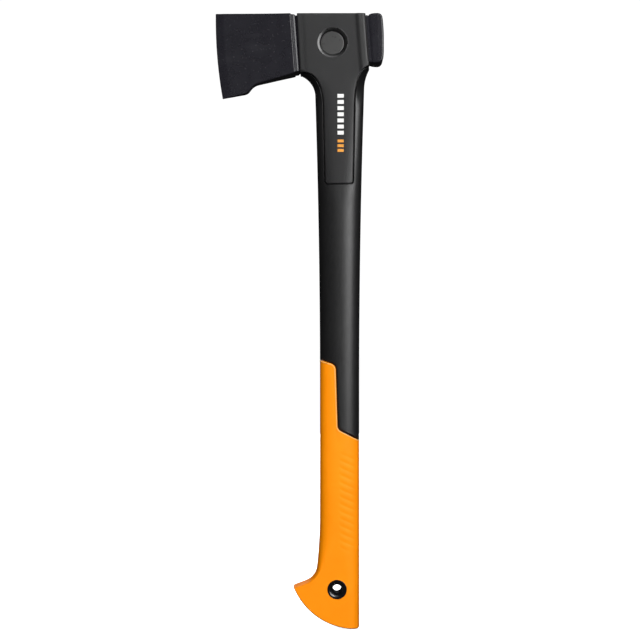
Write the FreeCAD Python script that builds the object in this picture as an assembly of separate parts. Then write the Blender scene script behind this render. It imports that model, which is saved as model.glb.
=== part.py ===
import FreeCAD, Part
import math
import os

# Splitting axe with a moulded composite handle.  Millimetres.
#
# Frame: +Z runs up the handle towards the head, -X towards the cutting edge, and the two
# flat sides face -Y and +Y.  The origin is the middle of the hang hole in the end knob.
# Front and back are mirror images, so every outline below is drawn once, in X and Z.

V = FreeCAD.Vector

# ---- driving dimensions ---------------------------------------------------------------
# Handle
HANDLE_X = 2.7  # centre line of the handle
GRIP_HALF_WIDTH = 19.6
GRIP_HALF_THICKNESS = 13.3
TAPER_START = 200.0  # above this height the handle widens towards the head
TAPER_RADIUS_WIDTH = 8950.0
TAPER_RADIUS_THICKNESS = 18600.0
NECK_LEFT_START = 491.4  # concave neck on the blade side
NECK_LEFT_RADIUS = 21.0
NECK_LEFT_END = 510.8
NECK_RIGHT_START = 498.5  # concave neck on the poll side
NECK_RIGHT_RADIUS = 42.5
NECK_RIGHT_END = 519.0
HANDLE_TOP = 523.0
SECTION_POWER_LOW = 2.25  # rounded section of the grip and shaft
SECTION_POWER_HIGH = 4.2  # squarer section where it meets the head
SECTION_LOW_Z = 380.0
SECTION_HIGH_Z = 492.0
QUARTER_STEPS = 6  # steps along each quarter of a section's curve

KNOB_TOP = 70.0  # where the straight grip meets the hooked knob
GRIP_WALL = 3.0
SHAFT_WALL = 4.0
TONGUE_POCKET = 2.0  # depth of the pockets that the collar's tongues lie in
TONGUE_PROUD = 0.9
HOLLOW_TOP = 476.0
CORE_BOTTOM = 16.0
END_PLUG_SPIGOT = 22.0
END_PLUG_FLANGE = 3.0

# Knob and hang hole
KNOB_HALF_THICKNESS = 12.8
KNOB_ARC_CENTRE = (19.1, 27.0)
KNOB_ARC_RADIUS = 67.6
HOOK_ARC_CENTRE = (-38.9, 23.8)
HOOK_ARC_RADIUS = 19.2
HOOK_TIP = (-43.7, 1.4)
KNOB_EDGE_ROUND = 3.0
HANG_HOLE_RADIUS = 4.6
HANG_HOLE_LENGTH = 14.4
BUSHING_RADIUS = 9.7
BUSHING_LIP = 0.8  # rim left round the flare

# Head
LEAN = 4.5  # degrees that the head's shoulders lean from the handle's line
BLADE_TOP = 573.4
SHOULDER_TOP = 571.0
SHOULDER_TOP_X = -46.1
HEAD_HALF_THICKNESS = 15.0
EDGE_HALF_THICKNESS = 0.5
BEVEL_HALF_THICKNESS = 2.9
BEVEL_WIDTH = 7.5
CHEEK_HALF_THICKNESS = 8.0  # halfway along the cheek, a little hollow
NECK_HALF_THICKNESS = 13.0
NECK_DROP = 2.2  # how far the neck lies below the blade's top
NECK_BOTTOM = 514.8
POLL_NECK_END_X = 34.0
BAR_CHAMFER = 1.5
WAIST_HALF_THICKNESS = 8.0
WAIST_BOTTOM = 524.0
WAIST_TOP = 563.0
POLL_LEFT_TOP_X = 32.0
POLL_RIGHT_X = 46.4
POLL_TOP = 571.8
POLL_BOTTOM = 522.3
POLL_CROWN_Z = 540.0
POLL_FLAT_HALF = 6.0  # half height of the flat striking patch
POLL_CROWN = 1.2  # how far the striking face falls back at its top
POLL_CORNER = 5.0
POLL_CHAMFER = 1.2

# Collar
COLLAR_HALF_THICKNESS = 17.0
COLLAR_EDGE_ROUND = 3.5
COLLAR_TOP = 571.3
COLLAR_LEFT_TOP_X = -39.6
COLLAR_RIGHT_TOP_X = 28.1
COLLAR_LEFT_BOTTOM_X = -36.1
COLLAR_BOTTOM_LEFT = 513.0
COLLAR_BOTTOM_RIGHT = 518.6
RECESS_CENTRE = (-4.6, 542.0)
RECESS_RADIUS = 15.0
RECESS_FLOOR_RADIUS = 12.2
RECESS_DEPTH = 4.5
PLUG_RADIUS = 11.5

# Printed marks on the tongues
MARK_RAISE = 0.15
MARK_LEFT = 0.4
MARK_RIGHT = 6.6
WHITE_BARS = (491.0, 448.5, 7)  # top, bottom, count
ORANGE_BARS = (446.0, 432.0, 3)
BAR_SHARE = 0.62  # share of each bar's pitch that is printed


# ---- drawing helpers --------------------------------------------------------------------
def line(start, end):
    return Part.makeLine(V(start[0], 0, start[1]), V(end[0], 0, end[1]))


def arc(start, through, end):
    points = [V(x, 0, z) for x, z in (start, through, end)]
    return Part.Arc(*points).toShape()


def prism(edges, half_depth):
    """A flat outline in X and Z, thickened evenly to both sides of Y = 0."""
    face = Part.Face(Part.Wire(Part.__sortEdges__(edges)))
    face.translate(V(0, -half_depth, 0))
    return face.extrude(V(0, 2 * half_depth, 0))


def polygon(points):
    return [line(a, b) for a, b in zip(points, points[1:] + points[:1])]


def cylinder(radius, half_depth, centre=(0.0, 0.0)):
    base = V(centre[0], -half_depth, centre[1])
    return Part.makeCylinder(radius, 2 * half_depth, base, V(0, 1, 0))


def flare(small, large, start, depth, centre, side):
    """A cone that opens outwards from |Y| = start, on the side that `side` names."""
    base = V(centre[0], side * start, centre[1])
    return Part.makeCone(small, large, depth, base, V(0, side, 0))


def upright_oval(centre_x, half_width, half_depth, base_z, height):
    oval = Part.Ellipse(V(0, 0, 0), half_width, half_depth).toShape()
    oval.translate(V(centre_x, 0, base_z))
    return Part.Face(Part.Wire([oval])).extrude(V(0, 0, height))


def on_circle(centre, radius, degrees):
    angle = math.radians(degrees)
    return (centre[0] + radius * math.cos(angle), centre[1] + radius * math.sin(angle))


def lean_x(x_at_top, z):
    """X at height z of a line that leans with the head."""
    return x_at_top + (COLLAR_TOP - z) * math.tan(math.radians(LEAN))


# ---- handle ---------------------------------------------------------------------------
def concave_neck(z, start, end, radius):
    rise = min(max(z - start, 0.0), end - start)
    return radius - math.sqrt(radius * radius - rise * rise)


def taper(z, radius):
    return max(z - TAPER_START, 0.0) ** 2 / (2 * radius)


def handle_section(z, grow):
    """The handle's closed section at height z, moved outwards by grow: four quarter curves."""
    half_width = GRIP_HALF_WIDTH + taper(z, TAPER_RADIUS_WIDTH)
    left = HANDLE_X - half_width
    left -= concave_neck(z, NECK_LEFT_START, NECK_LEFT_END, NECK_LEFT_RADIUS)
    right = HANDLE_X + half_width
    right += concave_neck(z, NECK_RIGHT_START, NECK_RIGHT_END, NECK_RIGHT_RADIUS)
    half_thickness = GRIP_HALF_THICKNESS + taper(z, TAPER_RADIUS_THICKNESS)

    blend = min(max((z - SECTION_LOW_Z) / (SECTION_HIGH_Z - SECTION_LOW_Z), 0.0), 1.0)
    power = SECTION_POWER_LOW + blend * (SECTION_POWER_HIGH - SECTION_POWER_LOW)
    middle = (left + right) / 2
    reach = (right - left) / 2 + grow
    depth = half_thickness + grow

    def on_section(step):
        angle = math.pi / 2 * step / QUARTER_STEPS
        across, deep = math.cos(angle), math.sin(angle)
        radius = (abs(across) ** power + abs(deep) ** power) ** (-1 / power)
        return V(middle + reach * radius * across, depth * radius * deep, z)

    directions = [V(0, 1, 0), V(-1, 0, 0), V(0, -1, 0), V(1, 0, 0), V(0, 1, 0)]
    quarters = []
    for index, (start, end) in enumerate(zip(directions, directions[1:])):
        first = index * QUARTER_STEPS
        points = [on_section(step) for step in range(first, first + QUARTER_STEPS + 1)]
        curve = Part.BSplineCurve()
        curve.interpolate(Points=points, InitialTangent=start, FinalTangent=end)
        quarters.append(curve.toShape())
    return Part.Wire(quarters)


def handle_loft(heights, grow):
    return Part.makeLoft([handle_section(z, grow) for z in heights], True, False)


def spaced(start, end, count):
    return [start + (end - start) * step / (count - 1) for step in range(count)]


def outer_handle(grow):
    """The outside of the shaft and of the straight part of the grip."""
    straight = handle_loft([KNOB_TOP, TAPER_START], grow)
    tapered = handle_loft(spaced(TAPER_START, NECK_LEFT_START, 8), grow)
    neck = handle_loft(spaced(NECK_LEFT_START, HANDLE_TOP, 9), grow)
    return straight.fuse([tapered, neck]).removeSplitter()


def grip_region():
    """The side view of the grip: its stepped top edge, and everything below that."""
    crest_left = (HANDLE_X - 60, 227.3)
    crest = (-16.5, 227.0)
    bend_start = (-5.8, 224.2)
    bend = (-2.3, 221.9)
    bend_end = (-0.9, 218.2)
    step_top = (1.2, 163.5)
    step_bend = (2.1, 160.1)
    step_bottom = (4.6, 157.0)
    slope_end = (HANDLE_X + 60, 127.1)
    floor_right = (HANDLE_X + 60, -60.0)
    floor_left = (HANDLE_X - 60, -60.0)
    edges = [
        line(crest_left, crest),
        line(crest, bend_start),
        arc(bend_start, bend, bend_end),
        line(bend_end, step_top),
        arc(step_top, step_bend, step_bottom),
        line(step_bottom, slope_end),
        line(slope_end, floor_right),
        line(floor_right, floor_left),
        line(floor_left, crest_left),
    ]
    return prism(edges, 30)


def knob():
    """The hooked end of the grip: nearly flat sides with a rounded rim, and an oval neck above."""
    top = KNOB_TOP
    left = HANDLE_X - GRIP_HALF_WIDTH
    right = HANDLE_X + GRIP_HALF_WIDTH
    hook_start = on_circle(HOOK_ARC_CENTRE, HOOK_ARC_RADIUS, -10)
    hook_end = on_circle(HOOK_ARC_CENTRE, HOOK_ARC_RADIUS, -72)
    sole_start = on_circle(KNOB_ARC_CENTRE, KNOB_ARC_RADIUS, 203.5)
    sole_end = on_circle(KNOB_ARC_CENTRE, KNOB_ARC_RADIUS, 270)
    corner = 2.2
    bottom = sole_end[1]
    corner_start = (right - corner, bottom + 0.1)
    corner_end = (right, bottom + 0.1 + corner)
    hollow = 0.9  # how far the palm side draws back above the hook
    edges = [
        line((right, top), (left, top)),
        arc((left, top), (left - hollow, 45.0), hook_start),
        arc(hook_start, on_circle(HOOK_ARC_CENTRE, HOOK_ARC_RADIUS, -42), hook_end),
        line(hook_end, HOOK_TIP),
        line(HOOK_TIP, sole_start),
        arc(sole_start, on_circle(KNOB_ARC_CENTRE, KNOB_ARC_RADIUS, 235), sole_end),
        line(sole_end, corner_start),
        arc(corner_start, (right - 0.3 * corner, bottom + 0.3 * corner), corner_end),
        line(corner_end, (right, top)),
    ]
    side_view = prism(edges, 30)

    # Across the handle the knob keeps the grip's oval on the poll side, and tapers to the hook.
    half = KNOB_HALF_THICKNESS
    base_z = bottom - 1
    height = top - base_z
    hook_plan = upright_oval(HOOK_TIP[0] + 30, right - HOOK_TIP[0] + 4, half + 2.2, base_z, height)
    hook_plan = hook_plan.common(Part.makeBox(200, 2 * half, 200, V(-100, -half, base_z)))
    palm_plan = upright_oval(HANDLE_X, GRIP_HALF_WIDTH, half + 0.4, base_z, height)
    palm_plan = palm_plan.fuse(Part.makeBox(100, 80, height, V(HANDLE_X - 100, -40, base_z)))
    body = side_view.common(hook_plan).common(palm_plan)

    # The rim along the sole.
    reach = half - KNOB_EDGE_ROUND
    rim_z = bottom + KNOB_EDGE_ROUND
    rim = Part.makeBox(200, 2 * reach, 100, V(-100, -reach, bottom))
    for side in (-1, 1):
        tube = Part.makeCylinder(KNOB_EDGE_ROUND, 200, V(-100, side * reach, rim_z), V(1, 0, 0))
        rim = rim.fuse(tube)
    rim = rim.fuse(Part.makeBox(200, 80, 200, V(-100, -40, rim_z)))
    return body.common(rim)


def shaft_core():
    """The shaft's narrower length, which the grip is moulded over."""
    straight = handle_loft([CORE_BOTTOM, TAPER_START], -GRIP_WALL)
    return straight.fuse(handle_loft(spaced(TAPER_START, TAPER_START + 100, 4), -GRIP_WALL))


def shaft_hollow():
    inset = -(GRIP_WALL + SHAFT_WALL)
    lower = handle_loft([CORE_BOTTOM - 1, TAPER_START], inset)
    upper = handle_loft(spaced(TAPER_START, HOLLOW_TOP, 6), inset)
    return lower.fuse(upper)


# ---- head -----------------------------------------------------------------------------
def blade():
    """The wedge: a thin bevelled edge that swells through hollow cheeks to the shoulders."""
    toe = (-121.2, BLADE_TOP)
    edge_bend = (-119.6, 530.9)
    heel = (-113.9, 488.2)
    shoulder_foot = (lean_x(SHOULDER_TOP_X, 512.5), 512.5)
    edges = [
        arc(toe, edge_bend, heel),
        line(heel, (-92.5, 492.6)),
        arc((-92.5, 492.6), (-88.6, 494.6), (-86.2, 498.2)),
        arc((-86.2, 498.2), (-84.2, 500.8), (-81.0, 502.2)),
        line((-81.0, 502.2), shoulder_foot),
        line(shoulder_foot, (SHOULDER_TOP_X, SHOULDER_TOP)),
        line((SHOULDER_TOP_X, SHOULDER_TOP), toe),
    ]
    side_view = prism(edges, 30)

    # Plan of the wedge, drawn at the level of the shoulder's top and drawn out along the lean.
    front = -122.0
    bevel_end = front + BEVEL_WIDTH
    cheek_bend = ((bevel_end + SHOULDER_TOP_X) / 2, CHEEK_HALF_THICKNESS)
    half_plan = [
        (front, EDGE_HALF_THICKNESS),
        (bevel_end, BEVEL_HALF_THICKNESS),
        cheek_bend,
        (SHOULDER_TOP_X, HEAD_HALF_THICKNESS),
    ]
    height = 100.0
    base_z = SHOULDER_TOP - height + 10
    shift = lean_x(0, base_z) - lean_x(0, SHOULDER_TOP)

    def plan_point(point, side):
        return V(point[0] + shift, side * point[1], base_z)

    edges = []
    for side in (-1, 1):
        tip, bevel, bend, shoulder = [plan_point(point, side) for point in half_plan]
        edges.append(Part.makeLine(tip, bevel))
        edges.append(Part.Arc(bevel, bend, shoulder).toShape())
    for point in (half_plan[0], half_plan[-1]):
        edges.append(Part.makeLine(plan_point(point, -1), plan_point(point, 1)))
    plan = Part.Face(Part.Wire(Part.__sortEdges__(edges)))
    wedge = plan.extrude(V(-math.tan(math.radians(LEAN)) * height, 0, height))
    return side_view.common(wedge)


def chamfered_bar(left_top_x, right_top_x, bottom, top, half_thickness):
    """A leaning bar of the head, with its four long edges chamfered."""
    points = [
        (lean_x(left_top_x, top), top),
        (lean_x(right_top_x, top), top),
        (lean_x(right_top_x, bottom), bottom),
        (lean_x(left_top_x, bottom), bottom),
    ]
    bar = prism(polygon(points), half_thickness)
    long_edges = []
    for edge in bar.Edges:
        ends = [vertex.Point for vertex in edge.Vertexes]
        if abs(ends[0].z - ends[1].z) < 0.01 and abs(ends[0].x - ends[1].x) > 1:
            long_edges.append(edge)
    return bar.makeChamfer(BAR_CHAMFER, long_edges)


def poll():
    """The rounded hammer head behind the handle."""
    left = lean_x(POLL_LEFT_TOP_X, POLL_CROWN_Z)
    corner = POLL_CORNER
    top_x = POLL_RIGHT_X - POLL_CROWN
    bottom_x = POLL_RIGHT_X - POLL_CROWN / 2
    edges = [
        line((left, POLL_TOP - 2), (left + 3, POLL_TOP)),
        line((left + 3, POLL_TOP), (top_x - corner, POLL_TOP)),
        arc((top_x - corner, POLL_TOP), (top_x - 0.3 * corner, POLL_TOP - 0.3 * corner),
            (top_x, POLL_TOP - corner)),
        line((top_x, POLL_TOP - corner), (POLL_RIGHT_X, POLL_CROWN_Z + POLL_FLAT_HALF)),
        line((POLL_RIGHT_X, POLL_CROWN_Z + POLL_FLAT_HALF), (POLL_RIGHT_X, POLL_CROWN_Z - POLL_FLAT_HALF)),
        line((POLL_RIGHT_X, POLL_CROWN_Z - POLL_FLAT_HALF), (bottom_x, POLL_BOTTOM + corner)),
        arc((bottom_x, POLL_BOTTOM + corner), (bottom_x - 0.3 * corner, POLL_BOTTOM + 0.3 * corner),
            (bottom_x - corner, POLL_BOTTOM)),
        line((bottom_x - corner, POLL_BOTTOM), (left + 2.5, POLL_BOTTOM)),
        line((left + 2.5, POLL_BOTTOM), (left, POLL_BOTTOM + 2)),
        line((left, POLL_BOTTOM + 2), (left, POLL_TOP - 2)),
    ]
    body = prism(edges, HEAD_HALF_THICKNESS)
    rim = []
    for edge in body.Edges:
        ends = [vertex.Point.y for vertex in edge.Vertexes]
        if abs(ends[0] - ends[-1]) < 0.01 and abs(abs(ends[0]) - HEAD_HALF_THICKNESS) < 0.01:
            rim.append(edge)
    return body.makeChamfer(POLL_CHAMFER, rim)


def axe_head():
    neck = chamfered_bar(SHOULDER_TOP_X - 0.5, COLLAR_LEFT_TOP_X, NECK_BOTTOM, SHOULDER_TOP - NECK_DROP,
                         NECK_HALF_THICKNESS)
    waist = chamfered_bar(COLLAR_LEFT_TOP_X - 3, POLL_NECK_END_X, WAIST_BOTTOM, WAIST_TOP,
                          WAIST_HALF_THICKNESS)
    poll_neck = chamfered_bar(COLLAR_RIGHT_TOP_X, POLL_NECK_END_X, WAIST_BOTTOM + 0.5,
                              SHOULDER_TOP - NECK_DROP - 0.2, NECK_HALF_THICKNESS)
    head = blade().fuse([neck, waist, poll_neck, poll()])
    return head.cut(cylinder(PLUG_RADIUS, 20, RECESS_CENTRE)).removeSplitter()


# ---- collar -----------------------------------------------------------------------------
def collar_block():
    points = [
        (lean_x(COLLAR_LEFT_TOP_X, COLLAR_TOP), COLLAR_TOP),
        (lean_x(COLLAR_RIGHT_TOP_X, COLLAR_TOP), COLLAR_TOP),
        (lean_x(COLLAR_RIGHT_TOP_X, COLLAR_BOTTOM_RIGHT), COLLAR_BOTTOM_RIGHT),
        (COLLAR_LEFT_BOTTOM_X, COLLAR_BOTTOM_LEFT),
    ]
    block = prism(polygon(points), COLLAR_HALF_THICKNESS)
    rounded = []
    for edge in block.Edges:
        ends = [vertex.Point for vertex in edge.Vertexes]
        on_face = abs(ends[0].y - ends[1].y) < 0.01
        upright = abs(ends[0].z - ends[1].z) > 20
        if on_face and upright:
            rounded.append(edge)
    return block.makeFillet(COLLAR_EDGE_ROUND, rounded)


def tongue_outline():
    """Side view of the tongues that run down both faces of the shaft."""
    top = COLLAR_BOTTOM_RIGHT + 2
    foot = 402.5
    left_top = (-35.4, top)
    left_shoulder = (-35.4, 512.9)
    left_neck = (-13.5, 484.0)
    left_foot = (-11.5, foot + 3)
    right_foot = (15.8, foot + 3)
    right_neck = (17.2, 486.0)
    right_shoulder = (31.8, 518.3)
    right_top = (31.8, top)
    edges = [
        line(left_top, left_shoulder),
        arc(left_shoulder, (-20.0, 506.5), left_neck),
        line(left_neck, left_foot),
        arc(left_foot, (-10.6, foot + 0.9), (-8.5, foot)),
        line((-8.5, foot), (12.8, foot)),
        arc((12.8, foot), (14.9, foot + 0.9), right_foot),
        line(right_foot, right_neck),
        arc(right_neck, (21.7, 508.9), right_shoulder),
        line(right_shoulder, right_top),
        line(right_top, left_top),
    ]
    return prism(edges, 30)


def tongues(outer_grow):
    """Front and back tongue, from the pocket's floor out to outer_grow above the shaft."""
    heights = spaced(395.0, NECK_LEFT_START, 5)
    neck_heights = spaced(NECK_LEFT_START, HANDLE_TOP, 9)
    outer = handle_loft(heights, outer_grow).fuse(handle_loft(neck_heights, outer_grow))
    floor = handle_loft(heights, -TONGUE_POCKET).fuse(handle_loft(neck_heights, -TONGUE_POCKET))
    return tongue_outline().common(outer.cut(floor))


def head_collar(head, tongue_pair):
    block = collar_block().fuse(tongue_pair)
    block = block.cut(head).cut(cylinder(PLUG_RADIUS, 20, RECESS_CENTRE))
    floor_y = COLLAR_HALF_THICKNESS - RECESS_DEPTH
    for side in (-1, 1):
        recess = flare(RECESS_FLOOR_RADIUS, RECESS_RADIUS, floor_y, RECESS_DEPTH, RECESS_CENTRE, side)
        block = block.cut(recess)
    return block.removeSplitter()


# ---- printed marks ----------------------------------------------------------------------
def marks(top, bottom, count):
    """A column of plain bars on both tongues."""
    pitch = (top - bottom) / count
    bars = []
    for index in range(count):
        bar_top = top - index * pitch
        bar_bottom = bar_top - BAR_SHARE * pitch
        corners = [
            (MARK_LEFT, bar_bottom),
            (MARK_RIGHT, bar_bottom),
            (MARK_RIGHT, bar_top),
            (MARK_LEFT, bar_top),
        ]
        bars.append(prism(polygon(corners), 30))
    heights = spaced(395.0, NECK_LEFT_START, 5)
    skin = handle_loft(heights, TONGUE_PROUD + MARK_RAISE).cut(handle_loft(heights, TONGUE_PROUD))
    return Part.makeCompound([solid for bar in bars for solid in bar.common(skin).Solids])


# ---- end of the handle --------------------------------------------------------------------
def hang_hole_bushing():
    body = cylinder(BUSHING_RADIUS, KNOB_HALF_THICKNESS)
    bore = cylinder(HANG_HOLE_RADIUS, KNOB_HALF_THICKNESS + 1)
    straight = HANG_HOLE_LENGTH / 2
    body = body.cut(bore)
    for side in (-1, 1):
        mouth = flare(HANG_HOLE_RADIUS, BUSHING_RADIUS - BUSHING_LIP, straight,
                      KNOB_HALF_THICKNESS - straight, (0, 0), side)
        body = body.cut(mouth)
    return body


def shaft_end_plug():
    """Closes the hollow shaft, so that the grip can be moulded over its end."""
    spigot = handle_loft([CORE_BOTTOM, CORE_BOTTOM + END_PLUG_SPIGOT], -(GRIP_WALL + SHAFT_WALL))
    flange = handle_loft([CORE_BOTTOM - END_PLUG_FLANGE, CORE_BOTTOM], -GRIP_WALL)
    return spigot.fuse(flange).removeSplitter()


def build():
    bushing = hang_hole_bushing()
    end_plug = shaft_end_plug()
    region = grip_region()
    handle = outer_handle(0.0)
    core = shaft_core()
    tongue_pair = tongues(TONGUE_PROUD)
    block = collar_block()

    grip_outside = handle.common(region).fuse(knob()).removeSplitter()
    grip = grip_outside.cut(core.common(region)).cut(end_plug)
    grip = grip.cut(cylinder(BUSHING_RADIUS, 30)).removeSplitter()

    shaft = handle.cut(region).fuse(core.common(region)).cut(shaft_hollow())
    shaft = shaft.cut(tongue_pair).cut(block).removeSplitter()

    head = axe_head()
    plug = cylinder(PLUG_RADIUS, COLLAR_HALF_THICKNESS - RECESS_DEPTH, RECESS_CENTRE)
    collar = head_collar(head, tongue_pair)

    return {
        "axe_head": head,
        "head_collar": collar,
        "head_lock_plug": plug,
        "shaft": shaft,
        "shaft_end_plug": end_plug,
        "grip": grip,
        "hang_hole_bushing": bushing,
        "white_marks": marks(*WHITE_BARS),
        "orange_marks": marks(*ORANGE_BARS),
    }


os.makedirs("parts", exist_ok=True)
for name, shape in build().items():
    shape.exportStep("parts/" + name + ".step")
    box = shape.optimalBoundingBox(True, False)
    print(name, len(shape.Solids), "solid", round(shape.Volume / 1000, 2), "cm3", shape.isValid(),
          [round(value, 1) for value in (box.XMin, box.XMax, box.YMin, box.YMax, box.ZMin, box.ZMax)])
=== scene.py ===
"""Looks of the splitting axe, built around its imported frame.  Outlines are in millimetres."""

import math

import bmesh
import bpy
import numpy as np
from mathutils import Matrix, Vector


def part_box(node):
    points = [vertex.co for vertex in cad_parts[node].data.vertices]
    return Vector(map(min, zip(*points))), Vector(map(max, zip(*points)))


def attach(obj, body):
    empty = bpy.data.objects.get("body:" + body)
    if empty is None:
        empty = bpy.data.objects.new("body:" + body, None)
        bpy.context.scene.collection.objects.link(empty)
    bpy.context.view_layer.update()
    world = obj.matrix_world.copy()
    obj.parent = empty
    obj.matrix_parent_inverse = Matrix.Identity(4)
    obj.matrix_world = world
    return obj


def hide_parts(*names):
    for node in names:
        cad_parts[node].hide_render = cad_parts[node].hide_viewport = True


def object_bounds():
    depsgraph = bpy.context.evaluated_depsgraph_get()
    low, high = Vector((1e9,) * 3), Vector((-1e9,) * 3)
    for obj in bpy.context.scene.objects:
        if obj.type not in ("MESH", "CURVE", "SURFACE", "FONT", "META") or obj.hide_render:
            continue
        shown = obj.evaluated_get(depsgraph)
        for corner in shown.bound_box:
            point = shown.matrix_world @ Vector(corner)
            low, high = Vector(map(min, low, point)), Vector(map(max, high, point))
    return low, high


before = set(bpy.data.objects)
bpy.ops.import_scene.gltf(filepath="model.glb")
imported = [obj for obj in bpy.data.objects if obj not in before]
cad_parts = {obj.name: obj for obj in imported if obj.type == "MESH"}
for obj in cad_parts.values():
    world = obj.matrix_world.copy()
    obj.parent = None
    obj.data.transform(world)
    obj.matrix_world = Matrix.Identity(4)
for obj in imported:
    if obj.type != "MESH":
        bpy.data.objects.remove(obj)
cad_low, cad_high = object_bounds()

MM = 0.001  # metres in a millimetre


def box_mm(node):
    """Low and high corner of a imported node."""
    low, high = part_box(node)
    return [value / MM for value in low], [value / MM for value in high]


HEAD_LOW, HEAD_HIGH = box_mm("axe_head")
COLLAR_LOW, COLLAR_HIGH = box_mm("head_collar")
SHAFT_LOW, _ = box_mm("shaft")
GRIP_LOW, GRIP_HIGH = box_mm("grip")
PLUG_LOW, PLUG_HIGH = box_mm("head_lock_plug")
_, BUSHING_HIGH = box_mm("hang_hole_bushing")
WHITE_LOW, WHITE_HIGH = box_mm("white_marks")
ORANGE_LOW, ORANGE_HIGH = box_mm("orange_marks")

ROUND_STEPS = 128  # columns round a hole, ring or disc
HOLE_REACH = 30.0  # half depth of a cutter, more than any half thickness

# ---- handle ----
GRIP_HALF_WIDTH = 19.6
HANDLE_X = GRIP_HIGH[0] - GRIP_HALF_WIDTH
GRIP_HALF_THICKNESS = GRIP_HIGH[1]
TAPER_START = 200.0  # above this height the handle widens towards the head
TAPER_RADIUS_WIDTH = 8950.0
TAPER_RADIUS_THICKNESS = 18600.0
NECK_LEFT = (491.4, 510.8, 21.0)  # start, end and radius of the concave neck
NECK_RIGHT = (498.5, 519.0, 42.5)
SECTION_POWERS = (2.25, 4.2)  # rounded section below, squarer section at the head
SECTION_HEIGHTS = (380.0, 492.0)
KNOB_TOP = 70.0  # where the straight grip meets the hooked knob
GRIP_WALL = 3.0
HALF_COLUMNS = 96  # columns across the front of a handle piece
CORE_LEVEL = 120.0  # a level row inside the grip, below the step edge
GRIP_LEVEL = 140.0  # the first level row of the grip's outside

# Step edge of the grip, from the blade side to the poll side
CREST = (-16.5, GRIP_HIGH[2])
STEP_TOP = [(-6.2, 223.9), (-2.9, 221.6), (-1.55, 218.0)]
STEP_FOOT = [(0.3, 162.2), (1.15, 159.4), (3.6, 157.1)]
STEP_SLOPE = -0.514
EDGE_GROOVE = 1.5  # width of the groove between the step edge and the shaft's face

# ---- collar ----
LEAN = math.tan(math.radians(4.5))
COLLAR_TOP = COLLAR_HIGH[2]
COLLAR_LEFT_TOP_X = COLLAR_LOW[0]
COLLAR_RIGHT_TOP_X = 28.1
FACE_Y = 16.1  # half thickness of the collar's main face
RIDGE = 0.85  # height of the raised band along the collar's poll side
BLOCK_ROWS = 46  # rows of the collar's face above its neck
TONGUE_PROUD = 0.9
TONGUE_FOOT = COLLAR_LOW[2]
TONGUE_TO_BLOCK = (486.0, 516.0)  # heights between which the tongue grows into the block
TONGUE_GAP = 1.35
GROOVE_DEPTH = 3.0
LEFT_CORNER = (-36.4, 513.0)  # where the face turns in along the neck
RIGHT_CORNER = (32.0, 519.0)
LEFT_NECK = (-13.2, 481.0)  # where the face has narrowed to the tongue
RIGHT_NECK = (16.9, 482.0)
RECESS_X = (PLUG_LOW[0] + PLUG_HIGH[0]) / 2
RECESS_Z = (PLUG_LOW[2] + PLUG_HIGH[2]) / 2
RECESS_RADIUS = 15.0
PLUG_RADIUS = (PLUG_HIGH[0] - PLUG_LOW[0]) / 2

# ---- head ----
TOE = (HEAD_LOW[0] + 0.3, HEAD_HIGH[2])
HEEL = (-113.9, HEAD_LOW[2])
BLADE_LENGTH = 75.2  # from the cutting edge to the shoulder
EDGE_BULGE = 2.05  # how far the cutting edge bows out
SHOULDER_TOP = 571.4
SHOULDER_TOP_X = -46.1
SHOULDER_FOOT = 512.5
HEAD_HALF = HEAD_HIGH[1]
POLL_TOP = 571.8
POLL_BOTTOM = 522.3
POLL_CROWN = 1.2  # how far the striking face swells
POLL_RIGHT = HEAD_HIGH[0] - POLL_CROWN
POLL_MIDDLE = (POLL_TOP + POLL_BOTTOM) / 2
POLL_FLARE = 1.3  # how much thicker the poll is at its striking face
POLL_CORNER = 5.0
POLL_RIM = 1.7
POLL_SHOULDER = 5.6


# ---- mesh helpers ----
def placed(name, data):
    """A new object in the scene."""
    made = bpy.data.objects.new(name, data)
    bpy.context.scene.collection.objects.link(made)
    return made


def smooth_step(value, start, end):
    """Rises smoothly from 0 at start to 1 at end."""
    t = np.clip((value - start) / (end - start), 0, 1)
    return t * t * (3 - 2 * t)


def lean_x(x_at_top, z):
    """X at height z of an upright line that leans with the head's shoulders."""
    return x_at_top + (COLLAR_TOP - z) * LEAN


def arc_points(start, through, end, count):
    """Points along the circular arc through three points."""
    (ax, az), (bx, bz), (cx, cz) = start, through, end
    d = 2 * (ax * (bz - cz) + bx * (cz - az) + cx * (az - bz))
    a2, b2, c2 = ax * ax + az * az, bx * bx + bz * bz, cx * cx + cz * cz
    ux = (a2 * (bz - cz) + b2 * (cz - az) + c2 * (az - bz)) / d
    uz = (a2 * (cx - bx) + b2 * (ax - cx) + c2 * (bx - ax)) / d
    radius = math.hypot(ax - ux, az - uz)
    angles = [math.atan2(z - uz, x - ux) for x, z in (start, through, end)]
    first, middle, last = angles
    turn = (last - first) % (2 * math.pi)
    if (middle - first) % (2 * math.pi) > turn:
        turn -= 2 * math.pi
    sweep = first + turn * np.linspace(0, 1, count)
    return np.stack([ux + radius * np.cos(sweep), uz + radius * np.sin(sweep)], axis=1)


def segment(start, end, count):
    t = np.linspace(0, 1, count)[:, None]
    return np.array(start) * (1 - t) + np.array(end) * t


def bezier(start, pull, end, count):
    t = np.linspace(0, 1, count)[:, None]
    return np.array(start) * (1 - t) ** 2 + np.array(pull) * 2 * t * (1 - t) + np.array(end) * t * t


def path(*parts):
    """Joins stretches that meet end to end."""
    return np.concatenate([parts[0]] + [part[1:] for part in parts[1:]])


def lengths(points):
    steps = np.linalg.norm(np.diff(points, axis=0), axis=1)
    return np.concatenate([[0], np.cumsum(steps)])


def resample(points, stations):
    """Points at the given shares of a polyline's length."""
    run = lengths(points)
    return np.stack([np.interp(np.asarray(stations) * run[-1], run, column) for column in points.T], axis=1)


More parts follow.
